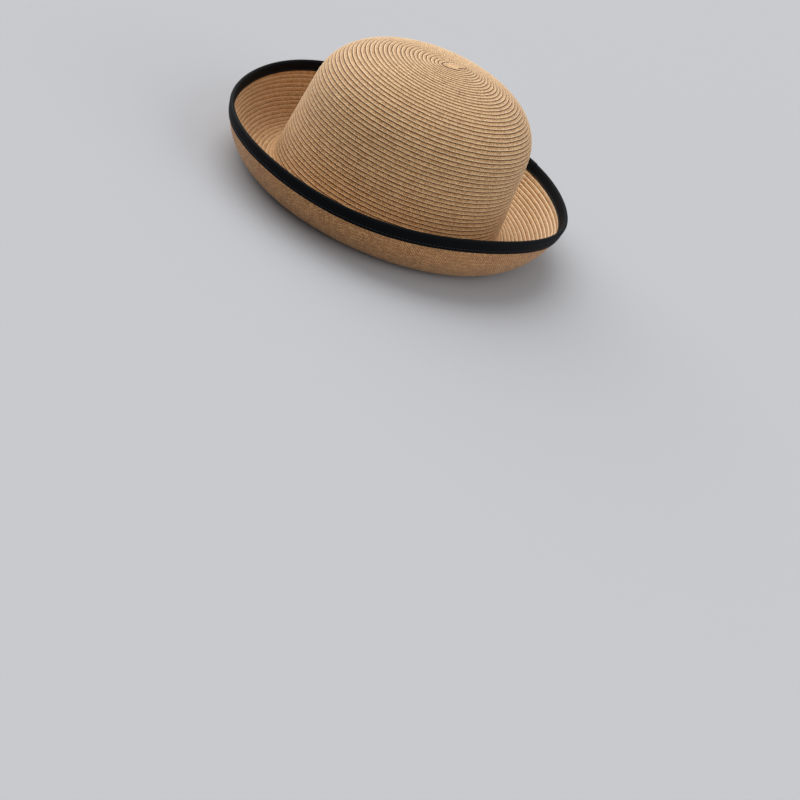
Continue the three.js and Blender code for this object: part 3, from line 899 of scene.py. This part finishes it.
def seam_ring(name, node, count, point_at, length, radius, side):
    """Stitches round the hat. point_at(section) gives (d, z) and the normal in the section."""
    turns = np.linspace(0, FULL_TURN, count, endpoint=False)

    def centres_at(angles):
        section = Section(angles)
        d, z, _, _ = point_at(section)
        return section.placed(d, z)

    section = Section(turns)
    d, z, normal_d, normal_z = point_at(section)
    centres = section.placed(d, z)
    raised = section.placed(d + side * normal_d, z + side * normal_z)
    along = unit(centres_at(turns + STITCH_STEP) - centres_at(turns - STITCH_STEP))
    outward = raised - centres
    outward = unit(outward - along * (outward * along).sum(-1, keepdims=True))
    made = stitches(name, centres, along, outward, length, radius, BLACK_THREAD)
    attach(made, "hat")
    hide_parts(node)


def binding_seam_at(depth):
    """The binding's seam at a depth under the skin, as a point_at for seam_ring."""
    def at(section):
        d, z, normal_d, normal_z = section.edge(BINDING_SEAM)
        return d - normal_d * depth, z - normal_z * depth, normal_d, normal_z
    return at


def band_seam_at(section):
    """The sweatband's seam, on the band's inner face."""
    z = BAND_SEAM + 0 * section.radius
    d, (normal_d, normal_z) = section.wall(z)
    depth = BAND_OFFSET
    return d - normal_d * depth, z - normal_z * depth, normal_d, normal_z


RIM_STITCHES = 295
RIM_STITCH, RIM_THREAD = 2.4, 0.17
PULLED_IN = 0.1  # how far a stitch lies in the ribbon
seam_ring("binding_needle_stitches", "binding_needle_thread", RIM_STITCHES,
          binding_seam_at(-(GAP + RIBBON - PULLED_IN)), RIM_STITCH, RIM_THREAD, 1)
seam_ring("binding_bobbin_stitches", "binding_bobbin_thread", RIM_STITCHES,
          binding_seam_at(BRAID + GAP + RIBBON - PULLED_IN), RIM_STITCH, RIM_THREAD, -1)

# ---- The sweatband and what is sewn to it ----

BAND_THICK = 0.7
BAND_COLUMNS = 720
BAND_SHARES = np.array([0, 0.02, 0.06, 0.08, 0.11, 0.2, 0.35, 0.5, 0.65, 0.8, 0.9, 0.95, 0.98, 1])
BAND_OVERLAP = {"half": 9, "thick": 0.3}
SELVEDGE = 0.12  # how much thinner the band is at its edges, on each face
BAND_SINK = 0.12
SOFT_SHARE = 0.02  # share of the band's width that an edge or the seam's dip takes
EASE, EASE_WAVES = 0.12, 9  # how far its free edge stands off, and how often round the hat
BAND_STITCHES, BAND_STITCH, BAND_THREAD = 148, 3.0, 0.2


def band_outline(section, turns):
    """A ribbon with soft selvedges that leans off the straw a little towards its free edge."""
    overlap = overlap_at(turns, CROWN_HALF_X, BAND_OVERLAP)
    seam = (BAND_SEAM - BAND_LOW) / (BAND_HIGH - BAND_LOW)
    inner, outer = [], []
    for share in BAND_SHARES:
        z = BAND_LOW + (BAND_HIGH - BAND_LOW) * share + 0 * turns
        d, (normal_d, normal_z) = section.wall(z)
        low_edge, high_edge = math.exp(-(share / SOFT_SHARE) ** 2), math.exp(-((1 - share) / SOFT_SHARE) ** 2)
        edge = SELVEDGE * (low_edge + high_edge)
        sunk = BAND_SINK * math.exp(-((share - seam) / SOFT_SHARE) ** 2)
        ease = EASE * (1 + np.sin(EASE_WAVES * turns)) * share ** 2
        near = BRAID + GAP + edge + 0.5 * ease
        far = BRAID + GAP + BAND_THICK + overlap * share - edge - sunk + ease * 0.5
        outer.append((d - normal_d * near, z - normal_z * near))
        inner.append((d - normal_d * far, z - normal_z * far))
    outline = outer + inner[::-1]
    return np.stack([p[0][0] for p in outline]), np.stack([p[1][0] for p in outline])


sweatband = ring("sweatband_ribbon", band_outline, BAND_COLUMNS, GROSGRAIN)
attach(sweatband, "hat")
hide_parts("sweatband")
seam_ring("sweatband_stitches", "sweatband_thread", BAND_STITCHES,
          band_seam_at, BAND_STITCH, BAND_THREAD, -1)

SATIN, BOW_RIBBON, KNOT_RIBBON = 0.35, 0.35, 0.5  # thicknesses


def laid_on_band(flat, middle, height, standoff):
    """Bends points, drawn in x along the band, y towards the wall and z up, round the band's inside."""
    bend = float(Section(np.array(middle + QUARTER)).radius)
    section = Section(middle - flat[..., 0] / bend)
    z = height + flat[..., 2]
    d, (normal_d, _) = section.wall(z)
    return section.placed(d - normal_d * (BAND_OFFSET + standoff - flat[..., 1]), z)


def maker_label():
    """A blank satin label whose corners and ends lift a little."""
    corner_lift, end_ripple, end_rate, long_ripple, long_rate, standoff = 0.25, 0.12, 1.1, 0.08, 0.4, 0.5
    width, height = MAKER_LABEL["width"], MAKER_LABEL["height"]
    along, up = np.linspace(-width / 2, width / 2, 45), np.linspace(-height / 2, height / 2, 17)
    x, z = np.meshgrid(along, up, indexing="ij")
    corner = np.abs(2 * x / width) ** 8 * np.abs(2 * z / height) ** 4
    ends = end_ripple * np.cos(z * end_rate) * np.abs(2 * x / width) ** 6
    ripple = ends + long_ripple * np.sin(x * long_rate)
    flat = np.stack([x, corner_lift * corner + ripple, z], -1)
    grid = laid_on_band(flat, FRONT, MAKER_LABEL["z"], standoff + SATIN)
    made = cloth("maker_label_satin", grid, SATIN, LABEL_SATIN)
    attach(made, "hat")
    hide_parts("maker_label")


def bow():
    """One loop of ribbon pressed flat, wide at its ends and drawn in at its waist."""
    end_inset, edge_inset, flatness, dish = 0.3, 0.2, 0.5, 0.25
    least_puff, puff_range = 0.28, 0.3
    gather_depth, gathers, gather_reach = 0.14, 3, 7
    a = np.linspace(0, FULL_TURN, 96, endpoint=False)
    b = np.linspace(-1, 1, 25)
    angle, across = np.meshgrid(a, b, indexing="ij")
    x = (BOW["width"] / 2 - end_inset) * np.cos(angle)
    out = np.abs(x) / (BOW["width"] / 2)
    half = (BOW["waist"] + (BOW["end"] - BOW["waist"]) * np.sqrt(out)) / 2 - edge_inset
    puff = least_puff + puff_range * np.sin(np.minimum(out, 1) * math.pi)
    gather = gather_depth * np.cos(across * gathers * math.pi) * np.exp(-(x / gather_reach) ** 2)
    sine = np.sin(angle)
    y = puff * np.sign(sine) * np.abs(sine) ** flatness * (1 - dish * across ** 2) + gather
    standoff = GAP + KNOT["wall"] + GAP + edge_inset + BOW["thick"] / 2
    grid = laid_on_band(np.stack([x, y, half * across], -1), BACK, BOW["z"], standoff)
    loops = cloth("bow_loops_ribbon", grid, BOW_RIBBON, GROSGRAIN, closed=True)
    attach(loops, "hat")
    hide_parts("bow_loops")


def knot():
    """The ribbon wrapped round the bow's waist."""
    rounded, drawn_in, crease_depth, crease_rate, clear = 0.55, 0.08, 0.1, 2.4, 0.2
    half_y = BOW["thick"] / 2 + GAP + KNOT["wall"] / 2
    waist = BOW["waist"] + (BOW["end"] - BOW["waist"]) * KNOT["width"] / BOW["width"]
    half_z = waist / 2 + GAP + KNOT["wall"] / 2
    a = np.linspace(0, FULL_TURN, 64, endpoint=False)
    angle, x = np.meshgrid(a, np.linspace(-KNOT["width"] / 2, KNOT["width"] / 2, 17), indexing="ij")
    y = half_y * np.sign(np.cos(angle)) * np.abs(np.cos(angle)) ** rounded
    z = half_z * np.sign(np.sin(angle)) * np.abs(np.sin(angle)) ** rounded
    waistline = 1 - drawn_in * np.cos(x / KNOT["width"] * math.pi)
    crease = crease_depth * np.cos(x * crease_rate)
    standoff = GAP + clear + BOW["thick"] / 2 + GAP + KNOT["wall"]
    grid = laid_on_band(np.stack([x, y * waistline + crease, z * waistline], -1), BACK, BOW["z"], standoff)
    made = cloth("bow_knot_ribbon", grid[::-1], KNOT_RIBBON, GROSGRAIN, closed=True)
    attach(made, "hat")
    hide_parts("bow_knot")


def hanging_label(prefix, side, body):
    """A satin ribbon folded in two and sewn by its top edge. side is 1 at +X and -1 at -X."""
    ply_gap, ply, ply_rate = 0.18, 0.24, 14
    top_inset, fold_inset, standoff = 0.1, 0.3, 0.05
    fall, top_gap, fold, fold_share = 0.9, 0.9, 1.2, 0.35
    curl_depth, sway, sway_rate = 0.25, 0.12, 0.35
    low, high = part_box(f"{prefix}_label")
    width, length = (high.y - low.y) / MM, (high.z - low.z) / MM
    middle = (low.x + high.x) / 2 / MM
    top = high.z / MM - top_inset
    run = np.linspace(-1, 1, 61)
    down = np.clip(1 - np.abs(run), 0, 1)
    z = top - (length - fold_inset) * np.where(down > 0, np.sin(down * QUARTER) ** fall, 0)
    apart = ply_gap * np.tanh(run * ply_rate) * (top_gap + fold * np.sin(down * math.pi) * fold_share)
    y = np.linspace(-width / 2, width / 2, 25)
    run_z, across = np.meshgrid(z, y, indexing="ij")
    hang = (top - run_z) / length
    bulge = curl_depth * hang ** 2 * np.cos(across / width * math.pi)
    curl = bulge + sway * hang * np.sin(across * sway_rate + 1)
    x = middle - side * (standoff + curl) + np.broadcast_to(apart[:, None], across.shape)
    grid = np.stack([x, across, run_z], -1)
    label = cloth(f"{prefix}_label_satin", grid, ply, LABEL_SATIN)
    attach(label, body)
    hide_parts(f"{prefix}_label")


def label_tack(prefix, side):
    """The bar of stitches that holds a hanging label."""
    spacing, inset, slant, stitch, radius = 1.6, 0.8, 0.22, 1.5, 0.22
    low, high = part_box(f"{prefix}_label_tack")
    count = max(5, round((high.y - low.y) / MM / spacing))
    places = np.linspace(low.y / MM + inset, high.y / MM - inset, count)
    centre_x = (low.x + high.x) / 2 / MM
    centre_z = (low.z + high.z) / 2 / MM
    centres = np.stack([np.full(count, centre_x), places, np.full(count, centre_z)], -1)
    along = unit(np.tile([0.0, 1.0, slant], (count, 1)))
    outward = np.tile([-side * 1.0, 0.0, 0.0], (count, 1))
    tack = stitches(f"{prefix}_label_tack_stitches", centres, along, outward, stitch, radius, BLACK_THREAD)
    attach(tack, "hat")
    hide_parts(f"{prefix}_label_tack")


maker_label()
bow()
knot()
hanging_label("care", 1, "care_flap")
label_tack("care", 1)
hanging_label("size", -1, "size_flap")
label_tack("size", -1)

for node, finish in (("edge_wire", WIRE), ("wire_joiner", BRASS)):
    for material_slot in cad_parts[node].material_slots:
        material_slot.material = finish

# ---- Floor and light ----

FLOOR_HALF = 40_000
FLOOR_GRAIN, FLOOR_MOTTLE = 900, 0.25
SKY = (0.97, 0.98, 1.0, 1)
SKY_STRENGTH = 0.7
KEY = {"energy": 3.35, "spread": 75, "color": (1.0, 0.99, 0.98)}
KEY_LEFT, KEY_BEHIND = 0.15, 0.05  # how far it leans from straight above, as the view has it
FILL = {"energy": 0.85, "spread": 60, "color": (1.0, 0.98, 0.96)}
FILL_NEAR, FILL_LOW = 0.35, 0.15  # how far it leans from the right


def floor():
    """A wide pale floor that fills the view."""
    m = Material("floor")
    grain = m.noise(FLOOR_GRAIN)
    pale = m.mix(m.math("MULTIPLY", grain, FLOOR_MOTTLE), rgb(166, 167, 170), rgb(162, 163, 167))
    finish = m.shade(pale, 0.9, Specular_IOR_Level=0.1)
    half = FLOOR_HALF
    corners = np.array([(-half, -half, 0), (half, -half, 0), (half, half, 0), (-half, half, 0)], float)
    made = build("floor", corners, [np.array([[0, 1, 2, 3]])], None, [finish])


def lamp(name, towards, energy, spread, color):
    """A sun lamp shining from a direction, soft by its spread in degrees."""
    data = bpy.data.lights.new(name, "SUN")
    data.energy = energy
    data.angle = math.radians(spread)
    data.color = color
    made = bpy.data.objects.new(name, data)
    made.rotation_mode = "QUATERNION"
    made.rotation_quaternion = towards.normalized().to_track_quat("Z", "Y")
    bpy.context.scene.collection.objects.link(made)


def light():
    """A bright even room, a large soft key from above and a fill from the right, as the view has them."""
    world = bpy.data.worlds.new("studio")
    bpy.context.scene.world = world
    world.use_nodes = True
    sky = world.node_tree.nodes["Background"]
    sky.inputs["Color"].default_value = SKY
    sky.inputs["Strength"].default_value = SKY_STRENGTH
    right, down, _, back = camera_axes()
    lamp("key", -down - right * KEY_LEFT - back * KEY_BEHIND, **KEY)
    lamp("fill", right + back * FILL_NEAR + down * FILL_LOW, **FILL)


floor()
light()
bpy.context.scene.view_settings.view_transform = "Standard"
